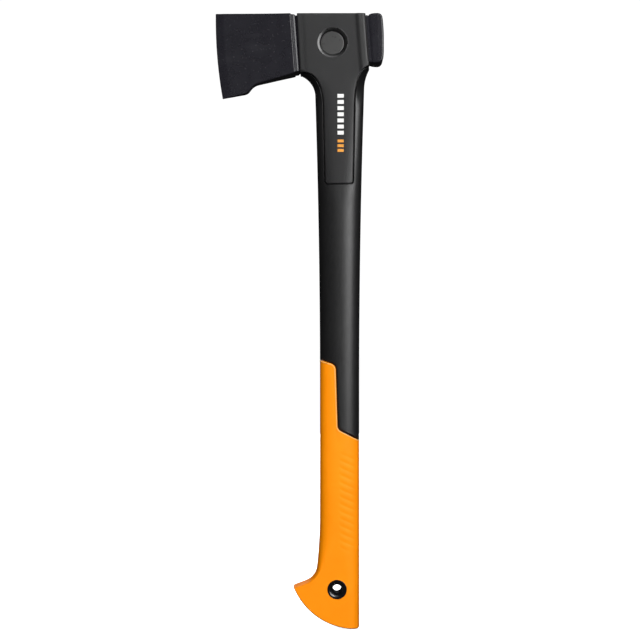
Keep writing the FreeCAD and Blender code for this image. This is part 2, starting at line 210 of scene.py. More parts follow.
def offset(points, distance):
    """The polyline moved to its left-hand side, by one distance or by one for each point."""
    ahead = np.gradient(points, axis=0)
    ahead /= np.linalg.norm(ahead, axis=1)[:, None]
    return points + np.reshape(distance, (-1, 1)) * np.stack([-ahead[:, 1], ahead[:, 0]], axis=1)


def distance_to(points, x, z):
    """Distance from each (x, z) to a polyline, and the share of its length at the nearest place."""
    start, end = points[:-1], points[1:]
    run = lengths(points)
    along = end - start
    square = (along ** 2).sum(axis=1)
    rx = x.reshape(-1, 1) - start[:, 0]
    rz = z.reshape(-1, 1) - start[:, 1]
    t = np.clip((rx * along[:, 0] + rz * along[:, 1]) / square, 0, 1)
    gap = np.hypot(rx - t * along[:, 0], rz - t * along[:, 1])
    best = gap.argmin(axis=1)
    rows = np.arange(len(best))
    share = (run[best] + t[rows, best] * (run[best + 1] - run[best])) / run[-1]
    return gap[rows, best].reshape(x.shape), share.reshape(x.shape)


def rounding(distance, radius):
    """How far a surface falls back at a distance from an edge with that radius."""
    inside = np.clip(distance, 0, radius)
    return radius - np.sqrt(np.maximum(radius ** 2 - (radius - inside) ** 2, 0))


def eased(points, radius, steps=4):
    """A profile with its inner corners rounded off."""
    points = [np.array(point, float) for point in points]
    made = [points[0]]
    for before, corner, after in zip(points, points[1:], points[2:]):
        back, ahead = before - corner, after - corner
        reach_back = min(radius, np.linalg.norm(back) * 0.45)
        reach_ahead = min(radius, np.linalg.norm(ahead) * 0.45)
        start = corner + back / np.linalg.norm(back) * reach_back
        end = corner + ahead / np.linalg.norm(ahead) * reach_ahead
        made.extend(bezier(start, corner, end, steps + 1))
    made.append(points[-1])
    return made


class Shell:
    """Collects grids of quads in millimetres and welds them into one mesh."""

    def __init__(self):
        self.points = []
        self.faces = []

    def grid(self, points, wrap_rows=False, wrap_columns=False):
        points = np.asarray(points, float)
        rows, columns = points.shape[:2]
        first = len(self.points)
        self.points.extend(points.reshape(-1, 3))
        for row in range(rows if wrap_rows else rows - 1):
            for column in range(columns if wrap_columns else columns - 1):
                next_row, next_column = (row + 1) % rows, (column + 1) % columns
                corners = [(row, column), (row, next_column), (next_row, next_column), (next_row, column)]
                self.faces.append([first + r * columns + c for r, c in corners])

    def mirrored(self, points, **wraps):
        """A grid and its mirror image across the handle's mid plane."""
        points = np.asarray(points, float)
        self.grid(points, **wraps)
        self.grid(points * np.array([1, -1, 1]), **wraps)

    def tube(self, rings):
        """Closed rings, joined in a row and closed at both ends."""
        rings = np.asarray(rings, float)
        self.grid(rings, wrap_columns=True)
        half = rings.shape[1] // 2
        for ring in (rings[0], rings[-1]):
            front = ring[:half + 1]
            back = np.concatenate([ring[:1], ring[:half - 1:-1]])
            self.grid([front, (front + back) / 2, back])

    def lathe(self, profile, centre, side):
        """A closed profile of (radius, depth) turned round an axis along Y."""
        angles = np.linspace(0, 2 * math.pi, ROUND_STEPS, endpoint=False)[:, None]
        profile = np.asarray(profile, float)
        x = centre[0] + profile[:, 0] * np.cos(angles)
        z = centre[1] + profile[:, 0] * np.sin(angles)
        y = np.broadcast_to(side * profile[:, 1], x.shape)
        self.grid(np.stack([x, y, z], axis=2), wrap_rows=True, wrap_columns=True)

    def discs(self, outline, centre, side):
        """An open outline of (radius, depth) that starts and ends on its axis along Y."""
        angles = np.linspace(0, 2 * math.pi, ROUND_STEPS, endpoint=False)
        rings = []
        for r, y in outline:
            circle = [(centre[0] + r * math.cos(a), centre[1] + r * math.sin(a)) for a in angles]
            rings.append([(x, side * y, z) for x, z in circle])
        self.grid(rings, wrap_columns=True)

    def mesh(self, name):
        """The welded mesh in metres, with its faces turned outwards."""
        mesh = bpy.data.meshes.new(name)
        mesh.from_pydata([tuple(point * MM) for point in self.points], [], self.faces)
        work = bmesh.new()
        work.from_mesh(mesh)
        bmesh.ops.remove_doubles(work, verts=work.verts, dist=0.002 * MM)
        bmesh.ops.dissolve_degenerate(work, dist=0.001 * MM, edges=work.edges)
        bmesh.ops.recalc_face_normals(work, faces=work.faces)
        work.to_mesh(mesh)
        work.free()
        return mesh

    def piece(self, name, material, slot, nodes, sharp_degrees):
        """The finished object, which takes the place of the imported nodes."""
        mesh = self.mesh(name)
        mesh.shade_smooth()
        mesh.set_sharp_from_angle(angle=math.radians(sharp_degrees))
        mesh.materials.append(material)
        piece = placed(name, mesh)
        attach(piece, "root")
        if nodes:
            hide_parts(*nodes)
        return piece


def cut_round_hole(piece, centre, radius):
    """Cuts a round hole along Y through a piece."""
    cutter = Shell()
    outline = [(0, -HOLE_REACH), (radius, -HOLE_REACH), (radius, HOLE_REACH), (0, HOLE_REACH)]
    cutter.discs(outline, centre, 1)
    tool = placed("cutter", cutter.mesh("cutter"))
    cut = piece.modifiers.new("hole", "BOOLEAN")
    cut.operation = "DIFFERENCE"
    cut.solver = "EXACT"
    cut.object = tool
    bpy.context.view_layer.update()
    evaluated = piece.evaluated_get(bpy.context.evaluated_depsgraph_get())
    shape = bpy.data.meshes.new_from_object(evaluated)
    piece.modifiers.clear()
    piece.data = shape
    bpy.data.objects.remove(tool)
    shape.set_sharp_from_angle(angle=math.radians(38))


# ---- the handle's section ----
def taper(z, radius):
    """How much the handle has grown at height z, along a large arc."""
    return np.maximum(z - TAPER_START, 0) ** 2 / (2 * radius)


def concave_neck(z, start, end, radius):
    rise = np.clip(z - start, 0, end - start)
    return radius - np.sqrt(radius ** 2 - rise ** 2)


def handle_sides(z):
    """Left and right edge of the handle's silhouette."""
    half_width = GRIP_HALF_WIDTH + taper(z, TAPER_RADIUS_WIDTH)
    left = HANDLE_X - half_width - concave_neck(z, *NECK_LEFT)
    right = HANDLE_X + half_width + concave_neck(z, *NECK_RIGHT)
    left = np.where(z > NECK_LEFT[0], np.maximum(left, lean_x(COLLAR_LEFT_TOP_X, z)), left)
    right = np.where(z > NECK_RIGHT[0], np.minimum(right, lean_x(COLLAR_RIGHT_TOP_X, z)), right)
    return left, right


def handle_depth(z):
    return GRIP_HALF_THICKNESS + taper(z, TAPER_RADIUS_THICKNESS)


def section_power(z):
    low, high = SECTION_POWERS
    start, end = SECTION_HEIGHTS
    share = np.clip((z - start) / (end - start), 0, 1)
    return low + share * (high - low)


def oval(u, power):
    """Depth of a rounded section at a share u of its half width."""
    return (1 - np.clip(np.abs(u), 0, 1) ** power) ** (1 / power)


def handle_point(u, z, inset=0.0):
    """Front surface of the handle at a share u of its half width, as points in millimetres."""
    u, z, inset = np.broadcast_arrays(np.asarray(u, float), np.asarray(z, float), np.asarray(inset, float))
    left, right = handle_sides(z)
    x = (left + right) / 2 + ((right - left) / 2 - inset) * u
    y = -(handle_depth(z) - inset) * oval(u, section_power(z))
    return np.stack([x, y, z], axis=-1)


def handle_share(x, z):
    """Share of the handle's half width at x, from -1 to 1."""
    left, right = handle_sides(z)
    return (x - (left + right) / 2) / ((right - left) / 2)


def handle_y(x, z):
    """Half thickness of the handle at x."""
    return handle_depth(z) * oval(handle_share(x, z), section_power(z))


def ring(front):
    """A whole ring from its front half, whose two ends lie on the mid plane."""
    return np.concatenate([front, front[-2:0:-1] * np.array([1, -1, 1])])


def even_shares(z):
    """Shares of the half width that are evenly spaced round the handle's section."""
    angles = np.linspace(math.pi, 0, 2000)
    points = handle_point(np.cos(angles), np.full(angles.shape, z))
    return resample(np.column_stack([points, np.cos(angles)]), np.linspace(0, 1, HALF_COLUMNS + 1))[:, 3]


# ---- the step edge between grip and shaft ----
def step_edge():
    """The grip's stepped top edge in X and Z, from silhouette to silhouette."""
    left, right = handle_sides(np.array([CREST[1], 150.0]))
    far_left, far_right = left[0] - 2, right[1] + 2
    foot_x, foot_z = STEP_FOOT[-1]
    return path(
        segment((far_left, CREST[1] + 0.1), CREST, 12),
        segment(CREST, STEP_TOP[0], 40),
        arc_points(*STEP_TOP, 40),
        segment(STEP_TOP[-1], STEP_FOOT[0], 120),
        arc_points(*STEP_FOOT, 30),
        segment((foot_x, foot_z), (far_right, foot_z + (far_right - foot_x) * STEP_SLOPE), 60),
    )


def edge_row(distance, gap=0.0):
    """The step edge moved away from the grip by distance, as shares of the half width and heights.

    The gap beside the edge is added to the distance, and it closes towards the silhouettes.
    """
    edge = resample(step_edge(), np.linspace(0, 1, 1600))
    heading = np.unwrap(np.arctan2(*np.gradient(edge, axis=0).T[::-1]))
    turned = np.concatenate([[0], np.cumsum(np.abs(np.diff(heading)))])
    from_silhouette = 1 - np.abs(handle_share(edge[:, 0], edge[:, 1]))
    edge = offset(edge, distance + gap * (0.12 + 0.88 * smooth_step(from_silhouette, 0.0, 0.10)))
    u = handle_share(edge[:, 0], edge[:, 1])
    inside = np.abs(u) < 1
    first, last = inside.argmax(), len(u) - inside[::-1].argmax()
    u = np.concatenate([[-1], u[first:last], [1]])
    z, turned = (np.pad(row[first:last], 1, mode="edge") for row in (edge[:, 1], turned))

    # Columns crowd towards the corners.
    run = lengths(handle_point(u, z)) + 9.0 * (turned - turned[0])
    at = np.linspace(0, run[-1], HALF_COLUMNS + 1)
    return np.interp(at, run, u), np.interp(at, run, z)


def blended_rows(start, end, shares, inset=0.0, bend=1.0):
    """Rings between two rows of (shares of the half width, heights).

    With a bend over 1 they keep the start's shares for longer, so they don't cross its corners.
    """
    rings = []
    for share in shares:
        across = share ** bend
        u = start[0] * (1 - across) + end[0] * across
        z = start[1] * (1 - share) + end[1] * share
        rings.append(ring(handle_point(u, z, inset)))
    return rings


def level_row(z):
    """A level row of evenly spaced columns, as shares of the half width and heights."""
    return even_shares(z), np.full(HALF_COLUMNS + 1, z)


def step_rings(shares, end_z, wall, gap, profile):
    """Rings from a hidden end along the core, then round the step edge by (distance, inset)."""
    row = np.ones(len(shares))
    core = (shares, row * CORE_LEVEL)
    rings = blended_rows((shares, row * end_z), core, np.linspace(0, 1, 5), wall)
    rings += blended_rows(edge_row(0.0, gap), core, np.linspace(1, 0, 13)[1:], wall, 3.0)
    for distance, inset in profile:
        rings.append(ring(handle_point(*edge_row(distance, gap), inset)))
    return rings


# ---- materials ----
class Surface:
    """A node material: a principled shader with colour, roughness and bump from noise."""

    def __init__(self, name, specular):
        self.material = bpy.data.materials.new(name)
        self.material.use_nodes = True
        self.nodes = self.material.node_tree.nodes
        self.links = self.material.node_tree.links
        self.shader = self.nodes["Principled BSDF"]
        self.shader.inputs["Specular IOR Level"].default_value = specular
        self.place = self.nodes.new("ShaderNodeTexCoord").outputs["Object"]

    def noise(self, scale, detail, stretch=(1, 1, 1)):
        mapping = self.nodes.new("ShaderNodeMapping")
        mapping.inputs["Scale"].default_value = stretch
        self.links.new(self.place, mapping.inputs["Vector"])
        noise = self.nodes.new("ShaderNodeTexNoise")
        noise.inputs["Scale"].default_value = scale
        noise.inputs["Detail"].default_value = detail
        self.links.new(mapping.outputs["Vector"], noise.inputs["Vector"])
        return noise.outputs["Fac"]

    def cells(self, scale):
        cells = self.nodes.new("ShaderNodeTexVoronoi")
        cells.inputs["Scale"].default_value = scale
        self.links.new(self.place, cells.inputs["Vector"])
        return cells.outputs["Distance"]

    def ranged(self, value, low, high, start=0.3, end=0.7):
        remap = self.nodes.new("ShaderNodeMapRange")
        remap.inputs["From Min"].default_value = start
        remap.inputs["From Max"].default_value = end
        remap.inputs["To Min"].default_value = low
        remap.inputs["To Max"].default_value = high
        self.links.new(value, remap.inputs["Value"])
        return remap.outputs["Result"]

    def mix(self, share, first, second):
        mix = self.nodes.new("ShaderNodeMix")
        mix.data_type = "RGBA"
        factor, first_colour, second_colour = mix.inputs[0], mix.inputs[6], mix.inputs[7]
        self.links.new(share, factor)
        for socket, value in ((first_colour, first), (second_colour, second)):
            if isinstance(value, tuple):
                socket.default_value = (*value, 1.0)
            else:
                self.links.new(value, socket)
        return mix.outputs[2]

    def bump(self, height, distance_mm, strength, under=None):
        bump = self.nodes.new("ShaderNodeBump")
        bump.inputs["Strength"].default_value = strength
        bump.inputs["Distance"].default_value = distance_mm * MM
        self.links.new(height, bump.inputs["Height"])
        if under is not None:
            self.links.new(under, bump.inputs["Normal"])
        return bump.outputs["Normal"]

    def finish(self, colour, roughness, normal):
        self.links.new(colour, self.shader.inputs["Base Color"])
        self.links.new(roughness, self.shader.inputs["Roughness"])
        self.links.new(normal, self.shader.inputs["Normal"])
        return self.material


def coated_steel():
    """Satin black anti-friction coating over forged steel, with faint rub marks."""
    surface = Surface("coated_steel", 0.5)
    mottled = surface.ranged(surface.noise(90, 4), 0, 1)
    rubbed = surface.ranged(surface.noise(60, 5, (0.25, 1, 2.2)), 0, 0.35, 0.62, 0.78)
    colour = surface.mix(mottled, (0.0118, 0.0114, 0.0148), (0.0150, 0.0146, 0.0186))
    colour = surface.mix(rubbed, colour, (0.030, 0.029, 0.033))
    roughness = surface.ranged(surface.noise(420, 3), 0.22, 0.28)
    grain = surface.bump(surface.noise(1800, 2), 0.004, 0.08)
    normal = surface.bump(surface.noise(55, 2), 0.35, 0.12, grain)
    return surface.finish(colour, roughness, normal)


def moulded_nylon(name, dark, light, roughness, grain_depth, specular):
    """Glass-filled nylon with a fine moulded grain and faint flow marks."""
    surface = Surface(name, specular)
    flow = surface.ranged(surface.noise(38, 4, (1, 1, 0.35)), 0, 1)
    colour = surface.mix(flow, dark, light)
    rough = surface.ranged(surface.noise(300, 3), *roughness)
    grain = surface.bump(surface.cells(1500), grain_depth, 0.45)
    normal = surface.bump(surface.noise(3200, 2), grain_depth, 0.3, grain)
    return surface.finish(colour, rough, normal)


def soft_rubber(name, dark, light, speckled):
    """Orange thermoplastic rubber: matt, with a fine grain and slight handling marks."""
    surface = Surface(name, 0.2)
    clouded = surface.ranged(surface.noise(45, 4), 0, 1)
    colour = surface.mix(clouded, dark, light)
    speck = surface.ranged(surface.noise(900, 3), 0, 0.10, 0.55, 0.8)
    colour = surface.mix(speck, colour, speckled)
    roughness = surface.ranged(surface.noise(260, 3), 0.48, 0.58)
    grain = surface.bump(surface.cells(1700), 0.06, 0.35)
    normal = surface.bump(surface.noise(2400, 2), 0.05, 0.3, grain)
    return surface.finish(colour, roughness, normal)


def polished_nylon():
    """Glossy black nylon, faintly uneven."""
    surface = Surface("polished_nylon", 1.0)
    clouded = surface.ranged(surface.noise(200, 3), 0, 1)
    colour = surface.mix(clouded, (0.003, 0.003, 0.0035), (0.006, 0.006, 0.007))
    roughness = surface.ranged(surface.noise(700, 3), 0.16, 0.24)
    normal = surface.bump(surface.noise(1500, 2), 0.02, 0.25)
    return surface.finish(colour, roughness, normal)


def pad_print(name, dark, light):
    """Printed ink, a little uneven and rubbed."""
    surface = Surface(name, 0.3)
    colour = surface.mix(surface.ranged(surface.noise(800, 4), 0, 1), dark, light)
    roughness = surface.ranged(surface.noise(500, 3), 0.45, 0.6)
    normal = surface.bump(surface.noise(2500, 2), 0.03, 0.4)
    return surface.finish(colour, roughness, normal)


STEEL = coated_steel()
COLLAR_NYLON = moulded_nylon("collar_nylon", (0.0125, 0.0125, 0.0130), (0.0165, 0.0165, 0.0170),
                             (0.37, 0.43), 0.04, 0.5)
# Darker copy of the black nylon for the recess walls: painted shade of the recess.
RECESS_SHADE_NYLON = moulded_nylon("recess_nylon_painted_shade", (0.0060, 0.0060, 0.0062), (0.0090, 0.0090, 0.0092),
                             (0.26, 0.34), 0.006, 1.0)
PLUG_NYLON = moulded_nylon("plug_nylon", (0.030, 0.030, 0.030), (0.042, 0.042, 0.041),
                           (0.27, 0.30), 0.004, 1.0)
SHAFT_NYLON = moulded_nylon("shaft_nylon", (0.0060, 0.0060, 0.0064), (0.0085, 0.0085, 0.0088),
                            (0.37, 0.44), 0.03, 0.75)
RUBBER = soft_rubber("soft_rubber", (0.93, 0.256, 0.001), (0.96, 0.277, 0.002), (0.70, 0.17, 0.004))
# A paler copy of the orange rubber for the grip's edge bead: a painted highlight.
HIGHLIGHT_RUBBER = soft_rubber("rubber_painted_highlight", (0.95, 0.44, 0.10), (0.98, 0.50, 0.14), (0.88, 0.36, 0.07))
BUSHING_NYLON = polished_nylon()
WHITE_PRINT = pad_print("white_print", (0.70, 0.70, 0.69), (0.86, 0.86, 0.84))
ORANGE_PRINT = pad_print("orange_print", (0.60, 0.24, 0.03), (0.72, 0.31, 0.05))


# ---- axe head ----
def rim_loop(height, half, radius, face_steps=22, round_steps=4):
    """Front half of a column's closed section: (height along the column, depth)."""
    turn = np.linspace(0, math.pi / 2, round_steps + 1)
    out, deep = radius * np.sin(turn), half - radius + radius * np.cos(turn)
    bottom = np.stack([radius - out[::-1], deep[::-1]], axis=1)
    top = np.stack([height - radius + out, deep], axis=1)
    support = min(0.4, 0.2 * (height - 2 * radius))
    face = np.linspace(radius + support, height - radius - support, face_steps)
    face = np.stack([face, np.full(face_steps, half)], axis=1)
    return np.concatenate([[(0, 0)], bottom, face, top, [(height, 0)]])


def head_column(foot, crown, half, radius, push=None):
    """One closed loop of the head between a foot point and a crown point."""
    foot, crown = np.array(foot), np.array(crown)
    height = np.linalg.norm(crown - foot)
    loop = rim_loop(height, half, radius)
    spot = foot + (crown - foot) * (loop[:, :1] / height)
    if push is not None:
        spot = spot + push(spot)
    return ring(np.column_stack([spot[:, 0], -loop[:, 1], spot[:, 1]]))


def blade_half(distance):
    """Half thickness of the wedge at a distance behind the cutting edge."""
    distances = [0, 0.6, 3.5, 7.2, 7.9, 22, 41, 58, 74.2, 74.9, 75.2]
    halves = [0.40, 0.62, 1.62, 2.84, 3.05, 5.15, 8.2, 11.3, HEAD_HALF, HEAD_HALF - 0.24, HEAD_HALF - 0.5]
    return np.interp(distance, distances, halves)


def edge_push(share):
    """Bows the cutting edge out, and less and less of the blade behind it."""
    def push(spot):
        v = (spot[:, 1] - HEEL[1]) / (TOE[1] - HEEL[1])
        sideways = -EDGE_BULGE * 4 * v * (1 - v) * (1 - share) ** 2
        return np.stack([sideways, sideways * 0.085], axis=1)
    return push


def blade_loops():
    """Columns from the cutting edge to the shoulder."""
    bottom = path(
        segment(HEEL, (-92.5, 492.6), 20),
        arc_points((-92.5, 492.6), (-88.5, 494.3), (-86.3, 496.8), 12),
        arc_points((-86.3, 496.8), (-83.2, 500.3), (-78.5, 502.85), 12),
        segment((-78.5, 502.85), (lean_x(SHOULDER_TOP_X, SHOULDER_FOOT), SHOULDER_FOOT), 30),
    )
    top = segment(TOE, (SHOULDER_TOP_X, SHOULDER_TOP), 2)
    stations = np.concatenate([
        [0, 0.25, 0.6, 1.2, 2.2, 3.5, 5.0, 6.4, 7.2, 7.55, 7.9, 8.6],
        np.linspace(10, 73.4, 58),
        [73.9, 74.2, 74.5, 74.9, BLADE_LENGTH],
    ]) / BLADE_LENGTH
    feet, crowns = resample(bottom, stations), resample(top, stations)
    ahead = (-0.25, 0)  # the rounded front of the cutting edge
    loops = [head_column(feet[0] + ahead, crowns[0] + ahead, 0.12, 0.1, edge_push(0))]
    for share, foot, crown in zip(stations, feet, crowns):
        half = float(blade_half(share * BLADE_LENGTH))
        loops.append(head_column(foot, crown, half, min(0.55 * half, 1.1), edge_push(share)))
    return loops


def neck_loops():
    """Columns of the stepped shoulder, the neck, the hidden waist and the poll's neck."""
    # Distance behind the shoulder, loss of half thickness, draw-in at both ends, edge radius.
    profile = [
        (0.15, 1.5, 0.6, 1.0), (0.35, 1.75, 0.9, 1.0), (0.5, 1.79, 0.9, 1.0), (2.3, 1.83, 1.1, 1.0),
        (2.5, 1.87, 1.1, 1.0), (3.7, 2.26, 1.4, 1.0), (3.8, 2.3, 1.4, 1.0), (3.95, 2.45, 1.6, 1.0),
        (4.25, 3.8, 2.1, 1.0), (4.6, 4.2, 2.2, 1.0), (7.4, 4.2, 2.2, 1.4),
    ]
    loops = []
    for shift, thinner, drop, radius in profile:
        x = SHOULDER_TOP_X + shift
        crown_z, foot_z = SHOULDER_TOP - 0.6 * drop, SHOULDER_FOOT + drop
        foot, crown = (lean_x(x, foot_z), foot_z), (lean_x(x, crown_z), crown_z)
        loops.append(head_column(foot, crown, HEAD_HALF - thinner, radius))
    waist = (524.0, 563.0)
    poll_neck = (523.0, 570.0)
    for x, (foot_z, crown_z), half in (
        (-38.4, waist, 8.0), (20.0, waist, 8.0), (25.0, poll_neck, 12.6), (30.0, poll_neck, 12.6),
    ):
        loops.append(head_column((lean_x(x, foot_z), foot_z), (lean_x(x, crown_z), crown_z), half, 1.5))
    return loops


def poll_steps(left):
    """Columns of the poll: X, half thickness, drop at the top and drop at the foot."""
    thin = HEAD_HALF - POLL_FLARE
    lead_in = [(-0.2, 12.7), (0.15, 12.9), (0.5, 13.25), (0.9, 13.57), (1.3, thin)]
    straight = POLL_RIGHT - POLL_CORNER - left
    for x in np.linspace(1.9, straight, 9):
        lead_in.append((x, HEAD_HALF - POLL_FLARE * (1 - x / straight)))
    steps = []
    for x, half in lead_in:
        short = 1 - min(max(x, 0) / POLL_SHOULDER, 1)
        bent = 1 - math.sqrt(1 - short ** 2)
        steps.append((left + x, half, 2.4 * bent, 0.3 * bent))
    for turn in np.linspace(0, math.pi / 2, 15)[1:]:
        x = POLL_RIGHT - POLL_CORNER + POLL_CORNER * math.sin(turn)
        fall = float(rounding(np.array(POLL_RIGHT - x), POLL_RIM))
        drop = POLL_CORNER * (1 - math.cos(turn))
        steps.append((x, HEAD_HALF - fall, drop, drop))
    return steps


def poll_push(left):
    """Swells the striking face and leans the poll's left side with the head."""
    flat_top, flat_foot = 546.0, 534.0

    def push(spot):
        share = smooth_step(spot[:, 0], left + 4, POLL_RIGHT)
        above = np.clip((spot[:, 1] - flat_top) / (POLL_TOP - 5 - flat_top), 0, 1.2)
        below = np.clip((flat_foot - spot[:, 1]) / (flat_foot - POLL_BOTTOM - 5), 0, 1.2)
        swell = POLL_CROWN - 1.2 * above ** 2 - 0.5 * below ** 2
        shear = (POLL_MIDDLE - spot[:, 1]) * LEAN * (1 - np.clip((spot[:, 0] - left) / 9, 0, 1))
        return np.stack([share * np.maximum(swell, 0) + shear, np.zeros(len(share))], axis=1)
    return push


def poll_loops():
    """Columns of the hammer poll."""
    left = lean_x(30.9, POLL_MIDDLE)
    loops = []
    for x, half, top_drop, foot_drop in poll_steps(left):
        foot, crown = (x, POLL_BOTTOM + foot_drop), (x, POLL_TOP - top_drop)
        loops.append(head_column(foot, crown, half, min(2.0, half * 0.5), poll_push(left)))
    return loops


def axe_head():
    """The forging, from the cutting edge to the striking face."""
    shell = Shell()
    shell.tube(blade_loops() + neck_loops() + poll_loops())
    shell.piece("axe_head_forging", STEEL, "coated_steel", ["axe_head"], 50)


# ---- collar ----
def collar_edge(top_x, corner, pull, neck, foot_x):
    """One edge of the collar's face: block, concave neck, tongue and rounded foot corner."""
    start_x, middle_x, end_x = foot_x
    foot_start = (start_x, TONGUE_FOOT + 3)
    return path(
        segment((top_x, COLLAR_TOP), corner, BLOCK_ROWS + 1),
        bezier(corner, pull, neck, 33),
        segment(neck, foot_start, 56),
        arc_points(foot_start, (middle_x, TONGUE_FOOT + 0.9), (end_x, TONGUE_FOOT), 9),
    )


def collar_edges():
    """Left and right edge of the collar's face, from the top down to the tongue's foot."""
    left = collar_edge(COLLAR_LEFT_TOP_X - 0.3, LEFT_CORNER, (-15.3, 514.6), LEFT_NECK, (-11.5, -10.6, -8.5))
    right = collar_edge(COLLAR_RIGHT_TOP_X, RIGHT_CORNER, (18.0, 517.0), RIGHT_NECK, (15.8, 14.9, 12.8))
    return left, right


def collar_face(x, z):
    """Depth of the collar's front face before its edges are rounded."""
    left_lean = (LEFT_CORNER[0] - COLLAR_LEFT_TOP_X) / (COLLAR_TOP - LEFT_CORNER[1])
    from_left = x - COLLAR_LEFT_TOP_X - (COLLAR_TOP - z) * left_lean
    from_right = lean_x(COLLAR_RIGHT_TOP_X, z) - x
    ridge = RIDGE * smooth_step(-from_right, -10.4, -7.4)
    ridge = ridge - 0.008 * np.clip(7.6 - from_right, 0, None) ** 2
    ridge = ridge - 0.16 * smooth_step(-from_left, -7.2, -4.6)
    block = FACE_Y + ridge
    tongue = handle_y(x, z) + TONGUE_PROUD
    share = smooth_step(z, *TONGUE_TO_BLOCK)
    return tongue * (1 - share) + block * share


def close_columns():
    """Shares across the collar's face, closer together towards its edges."""
    even = np.linspace(0, 1, 61)
    spread = 0.75 * 0.5 * (1 - np.cos(math.pi * even)) + 0.25 * even
    step = spread[1]
    near = [0, step * 0.12, step * 0.45]
    far = [1 - step * 0.45, 1 - step * 0.12, 1]
    return np.concatenate([near, spread[1:-1], far])


def with_close_rows(edge):
    """The edge with three more points close to its top, for the rounding there."""
    first = [edge[0] + (edge[1] - edge[0]) * share for share in (0.05, 0.2, 0.5)]
    return np.concatenate([edge[:1], first, edge[1:]])


def collar_faces():
    """Front face and inner face of the collar."""
    left, right = (with_close_rows(edge) for edge in collar_edges())
    spread = close_columns()[None, :, None]
    grid = left[:, None, :] * (1 - spread) + right[:, None, :] * spread
    x, z = grid[..., 0], grid[..., 1]
    to_left, _ = distance_to(left, x, z)
    to_right, _ = distance_to(right, x, z)
    left_radius = 0.8 + 0.2 * smooth_step(z, 512.0, 524.0)
    right_radius = 0.9 + 1.5 * smooth_step(z, 516.0, 528.0)
    y = collar_face(x, z) - rounding(to_left, left_radius) - rounding(to_right, right_radius)
    y = y - rounding(COLLAR_TOP - z, 1.3) - rounding(z - TONGUE_FOOT, 0.9)

    share = smooth_step(z, *TONGUE_TO_BLOCK)
    inner = handle_y(x, z) - GROOVE_DEPTH - 0.2
    inner = inner * (1 - share) + (FACE_Y - 4.2) * share
    inner = np.minimum(inner, y - 0.3)
    return np.stack([x, -y, z], axis=2), np.stack([x, -inner, z], axis=2)


def strip(start, end, steps):
    """A strip of wall between two rows of points."""
    share = np.linspace(0, 1, steps + 1)[:, None, None]
    return start[None] * (1 - share) + end[None] * share


def to_middle(row):
    """The row of points moved to the mid plane."""
    return row * np.array([1, 0, 1])


def head_collar():
    """The moulding round the head's waist, with a tongue down each face of the shaft."""
    face, inner = collar_faces()
    block_rows = BLOCK_ROWS + 3
    shell = Shell()
    shell.mirrored(face)
    shell.mirrored(strip(face[0], inner[0], 2))
    shell.mirrored(strip(inner[0], to_middle(inner[0]), 4))
    for side in (0, -1):
        shell.mirrored(strip(face[:, side], inner[:, side], 2))
        block = inner[:block_rows + 1, side]
        shell.mirrored(strip(block, to_middle(block), 4))
    shell.mirrored(strip(face[-1], inner[-1], 2))
    shell.mirrored(inner[block_rows:])
    shell.mirrored(strip(inner[block_rows], to_middle(inner[block_rows]), 4))
    piece = shell.piece("collar_and_tongues", COLLAR_NYLON, "collar_nylon", ["head_collar"], 40)
    cut_round_hole(piece, (RECESS_X, RECESS_Z), RECESS_RADIUS + 0.3)


def recess_rings():
    """The round recess on each side: a rounded mouth and a sloping wall."""
    disc = PLUG_HIGH[1]
    outside = RECESS_RADIUS + 0.9
    profile = [
        (outside, FACE_Y - 0.5), (outside, FACE_Y + 0.02), (RECESS_RADIUS - 0.3, FACE_Y + 0.03),
        (PLUG_RADIUS + 0.75, FACE_Y - 0.9), (PLUG_RADIUS + 0.5, FACE_Y - 2.2),
        (PLUG_RADIUS + 0.45, disc - 0.6), (PLUG_RADIUS + 0.5, disc - 1.5),
        (outside, disc - 1.5), (outside, FACE_Y - 0.6),
    ]
    shell = Shell()
    for side in (-1, 1):
        shell.lathe(eased(profile, 0.7, 5), (RECESS_X, RECESS_Z), side)
    # The walls take the darker nylon, which paints the shade inside the recess.
    shell.piece("recess_walls", RECESS_SHADE_NYLON, "plug_nylon", [], 40)


def lock_plug():
    """The disc of moulding seen at the bottom of each recess."""
    face = PLUG_HIGH[1] + 0.9
    wall = PLUG_RADIUS + 0.4
    profile = [(wall, 2.0), (wall, face - 0.8), (PLUG_RADIUS + 0.2, face - 0.3),
               (PLUG_RADIUS - 0.3, face), (0.0, face + 0.05)]
    profile = eased(profile, 0.6, 4)
    outline = [(0.0, 0.0), (wall, 0.0)] + [tuple(point) for point in profile[:-1]]
    outline += [(radius, face + 0.05) for radius in np.linspace(profile[-2][0], 0, 8)[1:]]
    shell = Shell()
    for side in (-1, 1):
        shell.discs(outline, (RECESS_X, RECESS_Z), side)
    shell.piece("lock_plug_discs", PLUG_NYLON, "plug_nylon", ["head_lock_plug"], 40)


# ---- shaft ----
SIDE_COLUMNS, FLOOR_COLUMNS = 33, 21  # beside the groove round the tongue, and across it
GATHER_START, GATHER_END = 250.0, 398.0  # heights between which the columns move to the groove
WALL_X = np.array([0, 0.15, 0.35, 0.5, 0.55])  # the groove's wall: distance from its edge
WALL_DEPTH = np.array([0, 0.03, 0.18, 0.6, 1.0])  # and share of its depth


def groove_edges():
    """Outer edges of the groove round the tongue: X for each height, from the foot up."""
    left, right = collar_edges()
    left, right = offset(left, -TONGUE_GAP), offset(right, TONGUE_GAP)
    return left[np.argsort(left[:, 1])], right[np.argsort(right[:, 1])]


